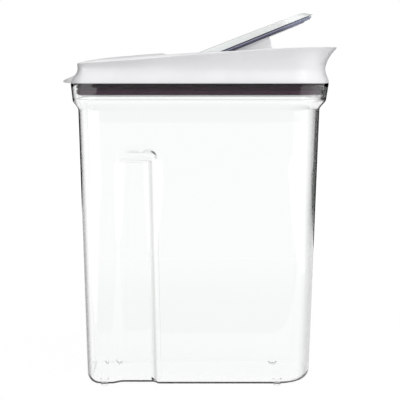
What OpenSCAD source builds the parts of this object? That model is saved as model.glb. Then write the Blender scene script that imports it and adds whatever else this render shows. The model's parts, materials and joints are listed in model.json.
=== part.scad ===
// Cereal keeper: a clear drafted container with finger grips, and a white lid whose
// rocker flap opens over a pour spout. Millimetres. X runs from the grip end (-) to the
// spout (+), Y is across, Z is up, and z = 0 is the table under the feet.
// The flap is drawn open, as it stands after its rear pad has been pressed.

/* [Container] */
// Length of the container over its rim
rim_len = 223; // [205:1:240]
// Width of the container over its rim
rim_w = 118; // [112:1:130]
// Height of the rim above the table
container_h = 262.4; // [230:0.1:300]
// Wall thickness of the clear moulding
wall_t = 2.4; // [1.8:0.1:3]
// Thickness of the floor
floor_t = 3; // [2:0.1:5]
// Height of the band around the mouth
rim_h = 13.5; // [13:0.5:20]
// Height of the sloped shoulder under that band
shoulder_h = 9.4; // [6:0.2:16]
// How far the shoulder steps in at the sides and the grip end
rim_step = 4.6; // [3:0.1:7]
// How far the shoulder steps in at the spout end
spout_step = 5.7; // [3:0.1:7]
// Outward lean of the band at the sides and the grip end
rim_flare = 1.4; // [0.8:0.1:3]
// Outward lean of the band at the spout end
spout_flare = 2.1; // [0.8:0.1:4]
// Draft of the long walls, in degrees
side_draft = 1.8; // [0.5:0.1:2.5]
// Draft of the wall at the grip end, in degrees
rear_draft = 1.4; // [0.5:0.1:2.5]
// Draft of the wall at the spout end, in degrees
front_draft = 1.8; // [0.5:0.1:2.5]
// Radius between the floor and the walls
base_r = 7; // [5:0.5:12]

/* [Plan shape] */
// Length of the rounded spout end, along X
front_round = 37; // [30:1:46]
// Length of the rounded grip end, along X
rear_round = 21; // [16:1:30]
// Squareness of the spout end, where 2 is an ellipse
front_power = 2.5; // [2.2:0.1:4]
// Squareness of the grip end, where 2 is an ellipse
rear_power = 4; // [3:0.1:6]

/* [Feet] */
// Height of the feet
foot_h = 2.8; // [1.5:0.1:5]
// Radius of a foot where it leaves the floor
foot_r = 4.2; // [3:0.1:5]
// Distance from the grip-end wall to the rear feet, at the floor
foot_rear_inset = 16; // [13:0.5:25]
// Distance from the spout-end wall to the front feet, at the floor
foot_front_inset = 30; // [20:0.5:40]
// Distance from the long walls to the feet, at the floor
foot_side_inset = 11; // [11:0.5:20]

/* [Finger grips] */
// Depth of the finger recess in each long wall
grip_depth = 6; // [3:0.5:9]
// Length of the recess along the wall
grip_len = 34; // [26:1:45]
// Distance from the rim's grip end to the recess
grip_inset = 37; // [32:1:55]
// Height of the recess's top above the table
grip_top = 202; // [120:1:210]
// Width of the crisp edge at the front and the top of the recess
grip_crisp = 4; // [3:0.5:7]
// Width of the soft edge towards the grip end
grip_soft = 11; // [6:0.5:14]
// How much further each side of the recess reaches at the table
grip_spread = 3.5; // [0:0.5:6]
// Radius of the recess's upper front corner
grip_corner = 7; // [4:0.5:10]

/* [Lid] */
// Wall thickness of the white mouldings
lid_t = 2.2; // [1.6:0.1:2.6]
// Height of the lid above the rim at the grip end
lid_rear_h = 16.8; // [16:0.2:22]
// Height of the lid above the rim at the spout's lip
lid_front_h = 30.6; // [30:0.2:40]
// Height of the waist above the rim
waist_h = 12; // [9:0.5:13]
// How far the waist is drawn in at the sides
waist_side = 3; // [1:0.1:4]
// How far the waist is drawn in at the spout end
waist_front = 3.2; // [1:0.1:5]
// How far the waist is drawn in at the grip end
waist_rear = 6; // [2:0.1:8]
// How far the top edge stands out from the waist at the sides
brow_side = 2.7; // [1:0.1:4]
// How far the top edge stands out from the waist at the grip end
brow_rear = 0.3; // [0:0.1:2]
// Reach of the spout's lip beyond the rim
spout_reach = 7; // [4:0.5:10]
// Rise of the crowned deck at the grip end
deck_crown = 4; // [2:0.5:6]
// Reach of the pull tab beyond the rim
tab_reach = 8.4; // [6:0.2:14]
// Width of the pull tab
tab_w = 38; // [28:1:60]
// Thickness of the pull tab at its tip
tab_t = 1.8; // [1.2:0.1:2.5]

/* [Flap] */
// Angle that the flap turns from shut to open, in degrees
flap_swing = 20; // [10:1:21]
// Upward tilt of the shut flap, in degrees
seat_tilt = 2; // [1:0.5:3]
// Length of the flap from its pivot to its nose
nose_len = 106; // [96:1:108]
// Length of the press pad behind the pivot
pad_len = 30; // [22:1:32]
// Width of the flap
flap_w = 105; // [98:1:106]
// Height of the flap's side at the pivot
flap_side_h = 5.7; // [5.4:0.1:6.4]
// How much lower the flap's side is at the nose
flap_thin = 1.5; // [0.5:0.1:1.7]
// Rise of the flap's top between its sides
flap_crown = 1.1; // [0.5:0.1:2]
// How far the nose slants back from its lower edge to its top edge
nose_slant = 7.4; // [4:0.1:9]
// Skin thickness of the flap
flap_t = 1.8; // [1.4:0.1:2]
// Depth of the pivot under the lid's top edge
pivot_drop = 6; // [5.8:0.1:6.4]

/* [Pour mouth] */
// Width of the mouth in the lid
mouth_w = 84; // [74:1:88]
// Distance from the pivot to the mouth's rear edge
mouth_start = 14; // [13:0.5:20]
// Distance from the mouth's front edge to the flap's nose
mouth_front_inset = 9; // [8:0.5:16]
// Radius of the flap's side cheeks about the pivot
cheek_r = 62; // [50:1:70]
// Angle of the cheeks below the flap, in degrees
cheek_fall = 19; // [16:1:21]
// Thickness of the cheeks
cheek_t = 2; // [1.4:0.1:3]

/* [Hinge] */
// Radius of the steel hinge pin
pin_r = 1.5; // [1.2:0.1:1.8]
// Length of each hinge barrel
barrel_len = 14; // [8:1:18]
// Wall of a hinge barrel around its bore
barrel_t = 1.9; // [1.4:0.1:2]

/* [Seals] */
// Thickness of the flap's seal
flap_seal_t = 2.8; // [2.4:0.1:3.4]
// Height of the seal around the lid's skirt
lid_seal_h = 9.4; // [7:0.1:10]
// Distance from the rim's outside to the lid's skirt
skirt_inset = 7.6; // [7:0.1:9]
// Depth of the lid's skirt in the container
skirt_depth = 11; // [10.6:0.1:12]

/* [Clearances] */
// Gap around the flap in its pocket
flap_gap = 0.7; // [0.4:0.1:1]
// Gap between a seal and what it seals against
seal_gap = 0.3; // [0.2:0.05:0.5]
// Gap between pieces that snap together
snap_gap = 0.15; // [0.1:0.05:0.3]
// Radial gap of the hinge pin in the barrels
run_gap = 0.05; // [0.02:0.01:0.1]
// Radial gap of the hinge pin in its sockets
socket_gap = 0.02; // [0.01:0.01:0.05]

/* [Hidden] */

clear_plastic = [0.86, 0.92, 0.92, 0.35];
white_plastic = [0.94, 0.94, 0.95];
pale_plastic = [0.88, 0.87, 0.91];
dark_silicone = [0.27, 0.26, 0.34];
steel = [0.72, 0.73, 0.75];

round_steps = 9;    // segments in a quarter of an outline
far = 30;           // reach of a cut past the lid
eps = 0.5;          // overshoot of a cut through a face

// The whole object, lip to tab, is centred on x = 0.
rim_rear = tab_reach / 2 - spout_reach / 2 - rim_len / 2;
rim_front = rim_rear + rim_len;
rim_hw = rim_w / 2;
rim_z = container_h;
band_z = rim_z - rim_h;
wall_top_z = band_z - shoulder_h;
tip_x = rim_front + spout_reach;
grip_x0 = rim_rear + grip_inset;
grip_x1 = grip_x0 + grip_len;

// Lid
edge_rear_x = rim_rear + waist_rear - brow_rear;
edge_rear_z = rim_z + lid_rear_h;
edge_rise = lid_front_h - lid_rear_h;
edge_power = 1.45;      // how late the top edge starts to climb
flare_power = 1.8;      // how late the wall turns outwards above the waist
crown_power = 8;        // how close to its edge the deck stays high
crown_end_x = 52;       // where the deck's crown has faded out
crown_rate = 1.6;       // how soon the deck's crown is full behind that
deck_mid_x = (edge_rear_x + tip_x) / 2;
plate_z = rim_z + lid_t;                  // top of the plate of the lid's base
pad_room = 1.6;                           // hollow under the well's floor
well_floor_z = plate_z + pad_room + lid_t;

// Flap frame: u runs from the pivot to the nose, v is square to the shut flap.
pivot_x = 0;
flap_v0 = 1.2;                            // the flap's lower edge above the pivot
flap_hw = flap_w / 2;
flap_edge_r = 0.8;                        // roundness of the flap's top edge
flap_front_round = front_round - 1;
pad_round = 8;
pad_fall = 0.05;                          // slope of the pad's top, per length
seal_v1 = flap_v0 - flap_seal_t;          // lower face of the flap's seal
seat_v = seal_v1 - seal_gap;              // the seat in the lid
pocket_hw = flap_hw + flap_gap;
pad_top_v = flap_v0 + flap_side_h + flap_crown;
pocket_rear = norm([pad_len, pad_top_v]) + flap_gap;
nose_gap = 2;                             // room in front of the nose, at the seat
lip_t = 2.2;                              // thickness of the spout's lip
side_block = 6;                           // fills the lid out to its side walls

// Pour mouth
mouth_hw = mouth_w / 2;
mouth_end = nose_len - mouth_front_inset;
mouth_rear_round = 9;
mouth_front_round = 30;
plug_gap = 1;                             // gap between the flap's plug and the mouth
plug_dip = 1.2;                           // reach of the plug below the seat
cheek_start = mouth_start + mouth_rear_round;

// Hinge
barrel_r = pin_r + barrel_t;
barrel_relief = 1.2;                      // room around a barrel
well_front = barrel_r + barrel_relief;
socket_depth = 2.2;
socket_end_gap = 0.2;                     // free length of the pin in a socket
pin_hw = pocket_hw + socket_depth - socket_end_gap;

// Seals
seal_land = 1.4;                          // the flap's seal inside the flap's sides
seal_nose = 4;                            // the flap's seal behind the flap's nose
lip_depth = 1.4;                          // valley between the two lips of the lid's seal
bead_h = 1.6;
bead_t = 1.2;

function clamp01(v) = min(1, max(0, v));
function smooth(v) = let (c = clamp01(v)) c * c * (3 - 2 * c);
function spow(v, p) = sign(v) * pow(abs(v), p);
function mirrored(half) = concat(half,
    [for (i = [len(half) - 2:-1:1]) let (p = half[i]) [p[0], -p[1], p[2], -p[3]]]);

// A point [x, y, nx, ny] of a superellipse about [cx, 0], with its outward normal
function se_point(cx, a, b, n, t) =
    let (c = t == 90 ? 0 : cos(t), s = t == 180 ? 0 : sin(t),
         gx = spow(c, 2 - 2 / n) / a, gy = spow(s, 2 - 2 / n) / b, g = norm([gx, gy]))
    [cx + a * spow(c, 2 / n), b * spow(s, 2 / n), gx / g, gy / g];

// A closed outline: a rounded end at xf, straight sides with extra points at xs, and a
// squarer end at xr. Every point is [x, y, nx, ny].
function outline(xr, xf, hw, rear_r, front_r, xs = []) = mirrored(concat(
    [for (i = [0:round_steps])
        se_point(xf - front_r, front_r, hw, front_power, 90 * i / round_steps)],
    [for (x = xs) [x, hw, 0, 1]],
    [for (i = [0:round_steps])
        se_point(xr + rear_r, rear_r, hw, rear_power, 90 + 90 * i / round_steps)]));

// The outline moved in by d, as a ring at height z
function inset_ring(pts, d, z) = [for (p = pts) [p[0] - p[2] * d, p[1] - p[3] * d, z]];

// A value that changes around an outline between its front, its rear and its sides
function around(p, front, rear, side) =
    front * pow(max(0, p[2]), 2) + rear * pow(max(0, -p[2]), 2) + side * p[3] * p[3];

// Faces of a loft. Rings all have n points. The last ring closes with a ladder of
// cross strips, because it may be crowned; the first ring is flat.
function wall_faces(n, rings) = [for (k = [0:rings - 2]) for (i = [0:n - 1])
    let (a = k * n + i, b = k * n + (i + 1) % n) each [[a, b, b + n], [a, b + n, a + n]]];
function ladder_faces(n, first) = [for (i = [0:n / 2 - 1])
    let (a = first + i, b = first + i + 1, c = first + (n - i - 1), d = first + (n - i) % n)
    each [if (a != d) [a, b, d], if (b != c) [b, c, d]]];

module loft(rings) {
    n = len(rings[0]);
    count = len(rings);
    polyhedron(
        points = [for (r = rings) each r],
        faces = [for (f = concat([[for (i = [n - 1:-1:0]) i]], wall_faces(n, count),
                                 ladder_faces(n, (count - 1) * n)))
            [for (i = [len(f) - 1:-1:0]) f[i]]],
        convexity = 8);
}

// A closed band: the last ring joins the first, so the solid is a hoop. Its rings run
// up the outside and down the inside.
module hoop(rings) {
    n = len(rings[0]);
    count = len(rings);
    polyhedron(
        points = [for (r = rings) each r],
        faces = [for (k = [0:count - 1]) for (i = [0:n - 1])
            let (j = (i + 1) % n, k2 = (k + 1) % count)
            each [[k * n + i, k2 * n + j, k * n + j], [k * n + i, k2 * n + i, k2 * n + j]]],
        convexity = 8);
}

// A flat plate between two heights, on a ring or an outline
module plate(pts, z0, z1) {
    translate([0, 0, z0]) linear_extrude(z1 - z0) polygon([for (p = pts) [p[0], p[1]]]);
}

// ---------------------------------------------------------------- container

// How far the outside is inside the rim's outline at height z
function wall_inset(z, draft, flare, step) =
    z >= band_z ? flare * (rim_z - z) / rim_h
    : z >= wall_top_z ? flare + step * smooth((band_z - z) / shoulder_h)
    : flare + step + (wall_top_z - z) * tan(draft);
function rear_inset(z) = wall_inset(z, rear_draft, rim_flare, rim_step);
function front_inset(z) = wall_inset(z, front_draft, spout_flare, spout_step);
function side_inset(z) = wall_inset(z, side_draft, rim_flare, rim_step);

// The container's outline at height z, with extra points at xs
function wall_outline(z, xs = []) = outline(rim_rear + rear_inset(z),
    rim_front - front_inset(z), rim_hw - side_inset(z), rear_round, front_round, xs);

// Borders of the finger recess at height z. It widens downwards and its upper front
// corner is round. grow moves the borders out for the inside wall.
function grip_reach(z, grow) = grow + grip_spread * (1 - z / grip_top);
function grip_front(z, grow) = let (c = clamp01((z - grip_top + grip_corner) / grip_corner))
    grip_x1 + grip_reach(z, grow) - grip_corner * (1 - sqrt(1 - c * c));
function grip_rear(z, grow) = grip_x0 - grip_reach(z, grow);
function grip(x, z, grow) = grip_depth
    * smooth((x - grip_rear(z, grow)) / grip_soft)
    * smooth((grip_front(z, grow) - x) / grip_crisp)
    * smooth((grip_top + grow - z) / grip_crisp);

// Places along the side wall that the recess needs points at
function grip_xs(z, grow) = concat(
    [for (f = [0, 0.3, 0.5, 0.7, 1]) grip_front(z, grow) - grip_crisp * f],
    [for (f = [1, 0.7, 0.5, 0.3, 0]) grip_rear(z, grow) + grip_soft * f]);

function container_ring(z, d, grow) = [for (p = wall_outline(z, grip_xs(z, grow)))
    let (g = abs(p[2]) < 0.01 ? grip(p[0], z, grow) : 0)
    [p[0] - p[2] * d, p[1] - p[3] * d - sign(p[1]) * g, z]];

// Heights of the rings from the top of the base radius to the rim
function wall_levels(z0, grow, top) = concat(
    [z0],
    [for (f = [1, 0.6]) grip_top + grow - grip_crisp - grip_corner * f],
    [for (f = [1, 0.7, 0.5, 0.3, 0]) grip_top + grow - grip_crisp * f],
    [for (f = [0, 0.25, 0.5, 0.75, 1]) wall_top_z + shoulder_h * f],
    [top]);

module container_form(z0, d, r, top, grow) {
    fillet_steps = 4;
    base = [for (k = [0:fillet_steps - 1]) let (a = 90 * k / fillet_steps)
        container_ring(z0 + r * (1 - cos(a)), d + r * (1 - sin(a)), grow)];
    wall = [for (z = wall_levels(z0 + r, grow, top)) container_ring(z, d, grow)];
    loft(concat(base, wall));
}

foot_rear_x = rim_rear + rear_inset(foot_h) + foot_rear_inset;
foot_front_x = rim_front - front_inset(foot_h) - foot_front_inset;
foot_y = rim_hw - side_inset(foot_h) - foot_side_inset;
foot_flat = 0.62;   // a foot's flat sole, as a share of its radius

module feet() {
    for (x = [foot_rear_x, foot_front_x], y = [-foot_y, foot_y])
        translate([x, y, 0])
            cylinder(h = foot_h + floor_t / 2, r1 = foot_r * foot_flat, r2 = foot_r, $fn = 48);
}

module container() {
    color(clear_plastic) union() {
        difference() {
            container_form(foot_h, 0, base_r, rim_z, 0);
            container_form(foot_h + floor_t, wall_t, base_r - wall_t, rim_z + eps, wall_t);
        }
        feet();
    }
}

// ---------------------------------------------------------------- lid

rim_pts = outline(rim_rear, rim_front, rim_hw, rear_round, front_round);

function waist(p) = around(p, waist_front, waist_rear, waist_side);
function brow(p) = around(p, spout_reach + waist_front, brow_rear, brow_side);
// Height of the lid's top edge at x
function edge_z(x) = edge_rear_z
    + edge_rise * pow(sin(90 * clamp01((x - edge_rear_x) / (tip_x - edge_rear_x))), edge_power);
// Height of the deck's crown on the centre line at x
function crown(x) = deck_crown *
    smooth((crown_end_x - x) / (crown_end_x - edge_rear_x) * crown_rate);

// Ring of the lid's wall below the waist, at a share f of the waist's height
function skirt_ring(f, d) = [for (p = rim_pts)
    let (o = -waist(p) * smooth(f) - d)
    [p[0] + p[2] * o, p[1] + p[3] * o, rim_z + waist_h * f]];
// Ring of the wall above the waist, at a share f of the way to the top edge less drop
function brow_ring(f, d, drop) = [for (p = rim_pts)
    let (o = brow(p) * pow(f, flare_power) - waist(p) - d,
         top = edge_z(p[0] + p[2] * (brow(p) - waist(p))) - drop)
    [p[0] + p[2] * o, p[1] + p[3] * o, rim_z + waist_h + (top - rim_z - waist_h) * f]];
// Ring of the deck, at a scale s of the top edge
function deck_ring(s, d, drop) = [for (p = rim_pts)
    let (o = brow(p) - waist(p) - d, x = deck_mid_x + (p[0] + p[2] * o - deck_mid_x) * s)
    [x, (p[1] + p[3] * o) * s, edge_z(x) + crown(x) * (1 - pow(s, crown_power)) - drop]];

module lid_outside() {
    loft(concat(
        [for (f = [0, 0.2, 0.4, 0.6, 0.8]) skirt_ring(f, 0)],
        [for (f = [0, 0.3, 0.55, 0.78, 0.94, 1]) brow_ring(f, 0, 0)],
        [for (s = [0.975, 0.94, 0.89, 0.82, 0.7, 0.5]) deck_ring(s, 0, 0)]));
}

module lid_inside() {
    loft(concat(
        [for (f = [-0.1, 0.2, 0.4, 0.6, 0.8]) skirt_ring(f, lid_t)],
        [for (f = [0, 0.5, 1]) brow_ring(f, lid_t, lid_t)],
        [for (s = [0.94, 0.86, 0.7]) deck_ring(s, lid_t, lid_t)]));
}

pivot_z = edge_z(pivot_x) - pivot_drop;
module seat_frame() {
    translate([pivot_x, 0, pivot_z]) rotate([0, -seat_tilt, 0]) children();
}
module flap_frame() {
    translate([pivot_x, 0, pivot_z]) rotate([0, -seat_tilt - flap_swing, 0]) children();
}
module across(length) {
    rotate([90, 0, 0]) translate([0, 0, -length / 2]) children();
}

// The flap's pocket, in the seat's frame. Its front leans out along the spout's lip.
tip_v = (edge_rear_z + edge_rise - pivot_z) - tip_x * tan(seat_tilt);
lip_lean = (tip_x - lip_t - nose_len - nose_gap) / (tip_v - seat_v);
function pocket_ring(v, rear, side, front) = inset_ring(outline(-pocket_rear - rear,
    nose_len + nose_gap + front + lip_lean * (v - seat_v), pocket_hw + side,
    pad_round + flap_gap, front_round), 0, v);
module pocket() {
    loft([pocket_ring(seat_v, 0, 0, 0), pocket_ring(far, 0, 0, 0)]);
}
module pocket_block() {
    loft([pocket_ring(seat_v - lid_t, lid_t, side_block, side_block),
          pocket_ring(far, lid_t, side_block, side_block)]);
}

// The well that the pad sinks into
module well(grow, side) {
    translate([-pocket_rear - grow, -pocket_hw - side, well_floor_z - grow])
        cube([pocket_rear + well_front + 2 * grow, 2 * (pocket_hw + side),
              pivot_z - well_floor_z + grow]);
}

mouth_pts = outline(pivot_x + mouth_start, pivot_x + mouth_end, mouth_hw,
                    mouth_rear_round, mouth_front_round);

// The pull tab: a tongue that slopes down from the lid's wall at the grip end
module pull_tab() {
    root_x = rim_rear + waist_rear;
    tab_tip_x = rim_rear - tab_reach;
    tab_under = 0.7;    // height of the tip's underside above the rim
    root_drop = 3;      // the tab meets the lid this far below the waist
    top_power = 1.1;    // how late the tab's top starts to climb
    top_steps = 6;
    edge_x = tab_tip_x + tab_t / 3;
    rise = waist_h - root_drop - tab_t - tab_under;
    top = [for (i = [0:top_steps]) let (f = i / top_steps)
        [edge_x + (root_x - edge_x) * f, rim_z + tab_under + tab_t + rise * pow(f, top_power)]];
    intersection() {
        across(tab_w) linear_extrude(tab_w)
            polygon(concat([[tab_tip_x, rim_z + tab_under + tab_t / 2]], top,
                [[root_x, rim_z], [rim_rear, rim_z], [tab_tip_x + tab_t, rim_z + tab_under]]));
        plate(outline(tab_tip_x, root_x + tab_reach, tab_w / 2, 1.5 * tab_reach, tab_reach / 2),
              rim_z - eps, rim_z + waist_h);
    }
}

module lid_shell() {
    color(white_plastic) difference() {
        union() {
            lid_outside();
            pull_tab();
        }
        difference() {
            lid_inside();
            seat_frame() pocket_block();
            well(lid_t, side_block);
            plate(inset_ring(mouth_pts, -lid_t, 0), plate_z, pivot_z);
        }
        seat_frame() pocket();
        well(0, 0);
        plate(mouth_pts, rim_z - far, rim_z + far);
        translate([pivot_x, 0, pivot_z]) across(2 * (pocket_hw + socket_depth))
            cylinder(h = 2 * (pocket_hw + socket_depth), r = pin_r + socket_gap, $fn = 48);
    }
}

// The lid's base: a plate inside the lid's wall, with a skirt that plugs the container
skirt_z = rim_z - skirt_depth;
module lid_base() {
    skirt_t = lid_t;
    color(white_plastic) union() {
        difference() {
            plate(skirt_ring(lid_t / waist_h, lid_t + snap_gap), rim_z, plate_z);
            plate(mouth_pts, rim_z - eps, plate_z + eps);
        }
        hoop([inset_ring(rim_pts, skirt_inset - bead_t / 2, skirt_z),
              inset_ring(rim_pts, skirt_inset - bead_t, skirt_z + bead_h / 2),
              inset_ring(rim_pts, skirt_inset - bead_t, skirt_z + bead_h),
              inset_ring(rim_pts, skirt_inset, skirt_z + bead_h),
              inset_ring(rim_pts, skirt_inset, rim_z + lid_t / 2),
              inset_ring(rim_pts, skirt_inset + skirt_t, rim_z + lid_t / 2),
              inset_ring(rim_pts, skirt_inset + skirt_t, skirt_z)]);
    }
}

// The seal around the skirt: two lips that follow the inside of the container's neck
module lid_seal() {
    function neck_ring(drop, d) =
        inset_ring(wall_outline(rim_z - drop), wall_t + seal_gap + d, rim_z - drop);
    h = lid_seal_h;
    color(dark_silicone) hoop([
        neck_ring(h, lip_depth), neck_ring(h - 1, 0), neck_ring(h * 0.62, 0),
        neck_ring(h * 0.52, lip_depth), neck_ring(h * 0.44, lip_depth), neck_ring(h * 0.34, 0),
        neck_ring(0.6, 0), neck_ring(0, 0.6),
        inset_ring(rim_pts, skirt_inset - snap_gap, rim_z),
        inset_ring(rim_pts, skirt_inset - snap_gap, rim_z - h)]);
}

module hinge_pin() {
    color(steel) translate([pivot_x, 0, pivot_z]) across(2 * pin_hw)
        cylinder(h = 2 * pin_hw, r = pin_r, $fn = 48);
}

// ---------------------------------------------------------------- flap

flap_pts = outline(-pad_len, nose_len, flap_hw, pad_round, flap_front_round);

// Height of the flap's side edge at u
function flap_edge_v(u) = flap_v0 + flap_side_h - flap_thin * clamp01(u / nose_len)
    - pad_fall * max(0, -u);
// Ring of the flap at a share f of its side's height, moved in by d and down by drop
function flap_ring(f, d, drop) = [for (p = flap_pts)
    let (o = -d - around(p, nose_slant * f, 0, 0), u = p[0] + p[2] * o)
    [u, p[1] + p[3] * o, flap_v0 + (flap_edge_v(u) - drop - flap_v0) * f]];
// Ring of the flap's top, at a scale s of its edge
function flap_top_ring(s, d, drop) = [for (q = flap_ring(1, d, drop))
    let (mid = (nose_len - pad_len) / 2, u = mid + (q[0] - mid) * s)
    [u, q[1] * s, flap_edge_v(u) - drop + flap_crown * (1 - s * s)]];

module flap_skin(d, drop, start) {
    edge_f = 1 - flap_edge_r / flap_side_h;
    loft(concat([start], [flap_ring(edge_f, d, drop)],
        [for (s = [0.985, 0.9, 0.7, 0.4]) flap_top_ring(s, d, drop)]));
}

module flap_cover() {
    notch_r = pin_r + seal_gap;
    color(white_plastic) flap_frame() difference() {
        flap_skin(0, 0, flap_ring(0, 0, 0));
        flap_skin(flap_t, flap_t, inset_ring(flap_pts, flap_t, flap_v0 - eps));
        across(flap_w + 1) cylinder(h = flap_w + 1, r = notch_r, $fn = 48);
    }
}

// The moulding inside the flap: a plate that closes the cover, a plug for the mouth, two
// cheeks that keep cereal between them, and the hinge barrels
module flap_plug() {
    plate_pts = flap_ring(1, flap_t + snap_gap, 0);
    plug_pts = inset_ring(mouth_pts, plug_gap, 0);
    plug_v = seat_v - plug_dip;
    cheek_y = mouth_hw - plug_gap - cheek_t;
    color(pale_plastic) flap_frame() difference() {
        union() {
            plate(plate_pts, flap_v0, flap_v0 + flap_t);
            plate(plug_pts, plug_v, flap_v0 + flap_t / 2);
            for (side = [-1, 1]) {
                translate([0, side * (cheek_y + cheek_t / 2), 0]) across(cheek_t) cheek();
                translate([0, side * (mouth_hw - barrel_len), 0]) across(barrel_len)
                    cylinder(h = barrel_len, r = barrel_r, $fn = 48);
            }
        }
        plate(inset_ring(mouth_pts, plug_gap + cheek_t, 0), plug_v - eps, flap_v0 - flap_t);
        across(flap_w) cylinder(h = flap_w, r = pin_r + run_gap, $fn = 48);
    }
}

module cheek() {
    linear_extrude(cheek_t) intersection() {
        circle(r = cheek_r, $fn = 96);
        polygon([[cheek_start, flap_v0], [cheek_start, -cheek_start * tan(cheek_fall)],
                 [2 * cheek_r, -2 * cheek_r * tan(cheek_fall)], [2 * cheek_r, flap_v0]]);
    }
}

// The flap's seal: a soft ring between the cover and the seat, around the plug
module flap_seal() {
    seal_rear = well_front + seal_land;
    function seal_ring(d, v) = inset_ring(outline(seal_rear, nose_len - seal_nose,
        flap_hw - seal_land, mouth_rear_round, flap_front_round), d, v);
    bulge = 0.6;
    color(dark_silicone) flap_frame() hoop([
        seal_ring(bulge, seal_v1), seal_ring(0, seal_v1 + bulge),
        seal_ring(0, flap_v0 - bulge), seal_ring(bulge, flap_v0),
        inset_ring(mouth_pts, plug_gap - snap_gap, flap_v0),
        inset_ring(mouth_pts, plug_gap - snap_gap, seal_v1)]);
}

container();
lid_shell();
lid_base();
lid_seal();
hinge_pin();
flap_cover();
flap_plug();
flap_seal();
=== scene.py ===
"""A clear cereal keeper with a white snap lid and a rocker flap over its pour spout.

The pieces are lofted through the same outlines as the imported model, at a finer step. Shapes
are worked out in millimetres, and turned into metres when a mesh is made. X runs from the
grip end (-) to the spout (+), Y away from the camera, Z up from the table.
"""
import json
import math
from bisect import bisect_right

import bpy
import bmesh
from mathutils import Matrix, Vector


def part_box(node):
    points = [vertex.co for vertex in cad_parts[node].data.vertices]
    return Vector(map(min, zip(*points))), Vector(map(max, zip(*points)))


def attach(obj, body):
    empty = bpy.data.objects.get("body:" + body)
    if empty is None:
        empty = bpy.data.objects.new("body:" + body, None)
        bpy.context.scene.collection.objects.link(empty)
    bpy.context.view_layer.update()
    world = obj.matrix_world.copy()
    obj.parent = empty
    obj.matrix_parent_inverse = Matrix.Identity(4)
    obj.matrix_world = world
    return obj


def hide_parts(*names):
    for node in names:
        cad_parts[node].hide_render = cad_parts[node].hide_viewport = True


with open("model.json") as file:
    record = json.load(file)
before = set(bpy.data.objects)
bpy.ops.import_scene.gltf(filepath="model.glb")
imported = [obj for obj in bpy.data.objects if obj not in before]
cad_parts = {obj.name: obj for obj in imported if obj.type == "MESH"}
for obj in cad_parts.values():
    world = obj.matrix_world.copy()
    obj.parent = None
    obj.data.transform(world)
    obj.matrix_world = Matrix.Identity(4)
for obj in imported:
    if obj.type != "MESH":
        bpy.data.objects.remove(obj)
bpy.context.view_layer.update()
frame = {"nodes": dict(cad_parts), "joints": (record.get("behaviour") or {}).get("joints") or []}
MM = 0.001

# ---------------------------------------------------------------- sizes, in millimetres

RIM_LOW, RIM_HIGH = (Vector(corner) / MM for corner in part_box("container"))
SHELL_LOW, SHELL_HIGH = (Vector(corner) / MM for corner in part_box("lid_shell"))
RIM_REAR, RIM_FRONT = RIM_LOW.x, RIM_HIGH.x
RIM_HW, RIM_Z = RIM_HIGH.y, RIM_HIGH.z
TAB_TIP_X, TIP_X = SHELL_LOW.x, SHELL_HIGH.x
LIP_Z = RIM_Z + 30.6
HINGE = next(joint for joint in frame["joints"] if joint["name"] == "flap_hinge")
PIVOT_Z = HINGE["pos_m"][2] / MM
FLAP_SWING = HINGE["range_deg"][1]

# Container
WALL_T, FLOOR_T = 2.4, 3.0
RIM_BAND_H, SHOULDER_H = 13.5, 9.4
RIM_STEP, SPOUT_STEP = 4.6, 5.7
RIM_FLARE, SPOUT_FLARE = 1.4, 2.1
SIDE_DRAFT, REAR_DRAFT, FRONT_DRAFT = 1.8, 1.4, 1.8
BASE_R = 7.0
RIM_ROUND = 0.5
FRONT_ROUND, REAR_ROUND = 37.0, 21.0
FRONT_POWER, REAR_POWER = 2.5, 4.0
FOOT_H, FOOT_R = 2.8, 4.2
FOOT_REAR_INSET, FOOT_FRONT_INSET, FOOT_SIDE_INSET = 16.0, 30.0, 11.0
BAND_Z = RIM_Z - RIM_BAND_H
WALL_TOP_Z = BAND_Z - SHOULDER_H
# Heights above the foot of the rim's band, and how far the inside stands in there
NECK_RIDGE = ((-0.05, 0.0), (0.25, 0.35), (0.6, 0.35), (0.9, 0.0))

# Finger recess
GRIP_DEPTH = 6.0
GRIP_X0 = RIM_REAR + 37.0
GRIP_X1 = GRIP_X0 + 35.0
GRIP_TOP = 202.0
GRIP_CRISP, GRIP_SOFT = 6.0, 11.0
GRIP_SPREAD, GRIP_CORNER = 3.5, 7.0

# Lid
LID_T = 2.2
LID_REAR_H = 16.8
WAIST_H = 12.0
WAIST_SIDE, WAIST_FRONT, WAIST_REAR = 3.0, 3.2, 6.0
BROW_SIDE, BROW_REAR = 2.7, 0.3
SPOUT_REACH = TIP_X - RIM_FRONT
DECK_CROWN = 4.0
EDGE_POWER, FLARE_POWER, CROWN_POWER = 1.45, 1.8, 8.0
CROWN_END_X, CROWN_RATE = 52.0, 1.6
EDGE_REAR_X = RIM_REAR + WAIST_REAR - BROW_REAR
EDGE_REAR_Z = RIM_Z + LID_REAR_H
EDGE_RISE = LIP_Z - EDGE_REAR_Z
DECK_MID_X = (EDGE_REAR_X + TIP_X) / 2
PLATE_Z = RIM_Z + LID_T
WELL_FLOOR_Z = PLATE_Z + 1.6 + LID_T
TAB_REACH, TAB_W, TAB_T = 8.4, 38.0, 1.8

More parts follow.
